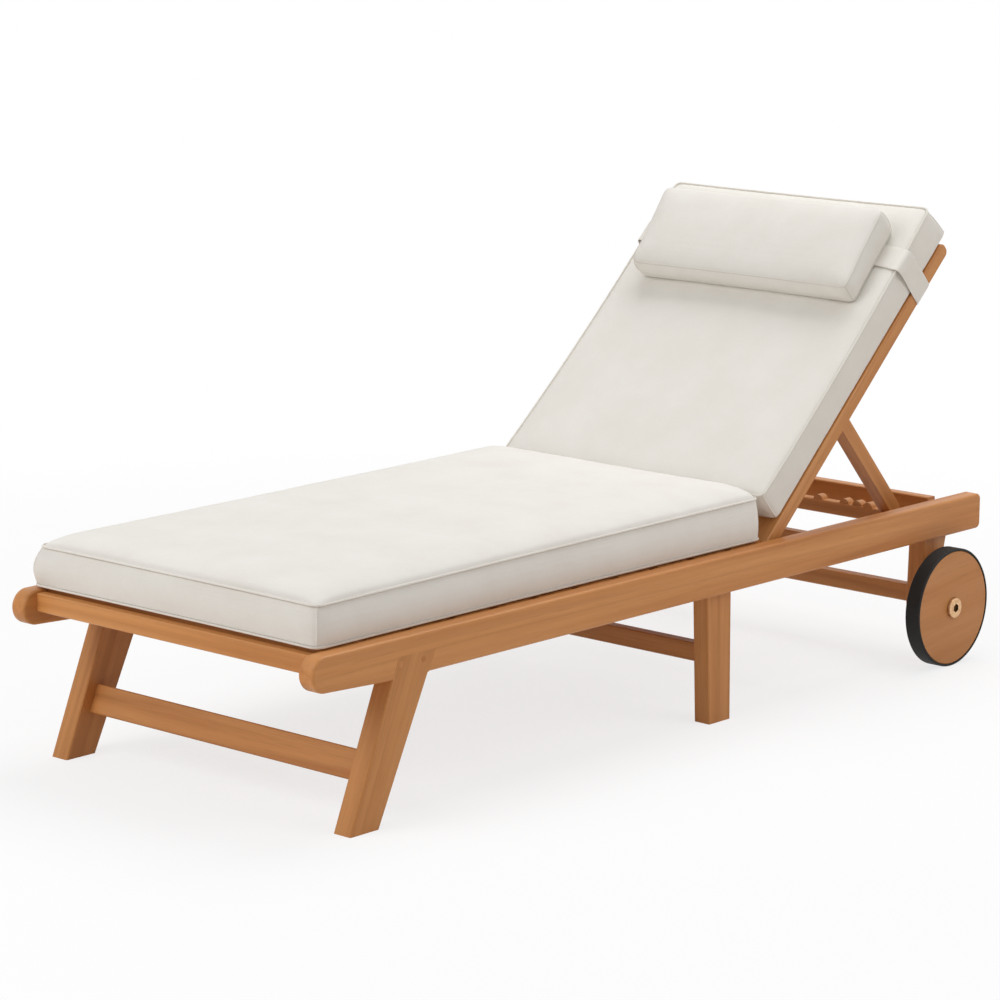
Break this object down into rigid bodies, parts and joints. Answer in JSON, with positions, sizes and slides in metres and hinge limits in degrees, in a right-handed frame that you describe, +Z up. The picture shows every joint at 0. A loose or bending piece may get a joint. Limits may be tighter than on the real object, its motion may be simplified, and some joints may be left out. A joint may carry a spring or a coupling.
{
  "type": "sun lounger",
  "caption": "Teak sun lounger with a reclining slatted back on prop arms and toothed racks, rear wheels, piped box cushions and a strapped headrest pillow.",
  "frame": {"origin": "on the floor, under the middle of the frame", "axes": "+Z up, +Y towards the head end with the wheels, +X to the right"},
  "size_m": [0.8936, 1.9999, 0.9394],
  "materials": {
    "teak": "oiled teak, smooth sanded, satin",
    "canvas": "off-white woven outdoor canvas",
    "strap_webbing": "off-white woven canvas band",
    "tyre_rubber": "matte black rubber",
    "brass_hardware": "pale satin brass",
    "steel_hardware": "stainless, satin",
    "bush_plastic": "moulded nylon"
  },
  "bodies": {
    "frame": {"axle_barrel_nuts": "steel_hardware", "axle_bolt_left": "brass_hardware", "axle_bolt_right": "brass_hardware", "axle_spacers": "steel_hardware", "front_apron": "teak", "front_leg_left": "teak", "front_leg_right": "teak", "front_stretcher": "teak", "hinge_bolts": "steel_hardware", "leg_bolts": "steel_hardware", "mid_leg_left": "teak", "mid_leg_right": "teak", "mid_stretcher": "teak", "rack_front_rail": "teak", "rack_left": "teak", "rack_rear_rail": "teak", "rack_right": "teak", "rear_cross_rail": "teak", "rear_leg_left": "teak", "rear_leg_right": "teak", "rear_stretcher": "teak", "seat_cushion": "canvas", "seat_slat_01": "teak", "seat_slat_02": "teak", "seat_slat_03": "teak", "seat_slat_04": "teak", "seat_slat_05": "teak", "seat_slat_06": "teak", "seat_slat_07": "teak", "seat_slat_08": "teak", "seat_slat_09": "teak", "seat_slat_10": "teak", "seat_slat_11": "teak", "side_rail_left": "teak", "side_rail_right": "teak", "slat_ledger_left": "teak", "slat_ledger_right": "teak", "wood_plugs": "teak"},
    "wheel_left": {"wheel_disc_left": "teak", "tyre_left": "tyre_rubber", "wheel_bush_left": "bush_plastic"},
    "wheel_right": {"wheel_disc_right": "teak", "tyre_right": "tyre_rubber", "wheel_bush_right": "bush_plastic"},
    "backrest": {"back_bottom_rail": "teak", "back_cushion": "canvas", "back_slat_1": "teak", "back_slat_2": "teak", "back_slat_3": "teak", "back_slat_4": "teak", "back_stile_left": "teak", "back_stile_right": "teak", "back_top_rail": "teak", "prop_pivot_bolts": "steel_hardware"},
    "prop": {"prop_arm_left": "teak", "prop_arm_right": "teak", "prop_tie": "teak"},
    "headrest": {"headrest_pillow": "canvas", "headrest_strap": "strap_webbing"}
  },
  "joints": [
    {"name": "backrest_tilt", "type": "hinge", "parent": "frame", "child": "backrest", "pos_m": [0, 0.3283, 0.32], "axis": [1, 0, 0], "range_deg": [-43.33, 16.67]},
    {"name": "prop_swing", "type": "hinge", "parent": "backrest", "child": "prop", "pos_m": [0, 0.58668, 0.56374], "axis": [1, 0, 0], "range_deg": [-35.2, 91.3]},
    {"name": "headrest_slide", "type": "slide", "parent": "backrest", "child": "headrest", "axis": [0, 0.7274, 0.6862], "range_m": [-0.06, 0.02]},
    {"name": "wheel_left_spin", "type": "hinge", "parent": "frame", "child": "wheel_left", "pos_m": [-0.423, 0.838, 0.124], "axis": [1, 0, 0], "continuous": true},
    {"name": "wheel_right_spin", "type": "hinge", "parent": "frame", "child": "wheel_right", "pos_m": [0.423, 0.838, 0.124], "axis": [1, 0, 0], "continuous": true}
  ],
  "couplings": [
    {"joint": "prop_swing", "follows": "backrest_tilt", "ratio": -2.1055}
  ]
}
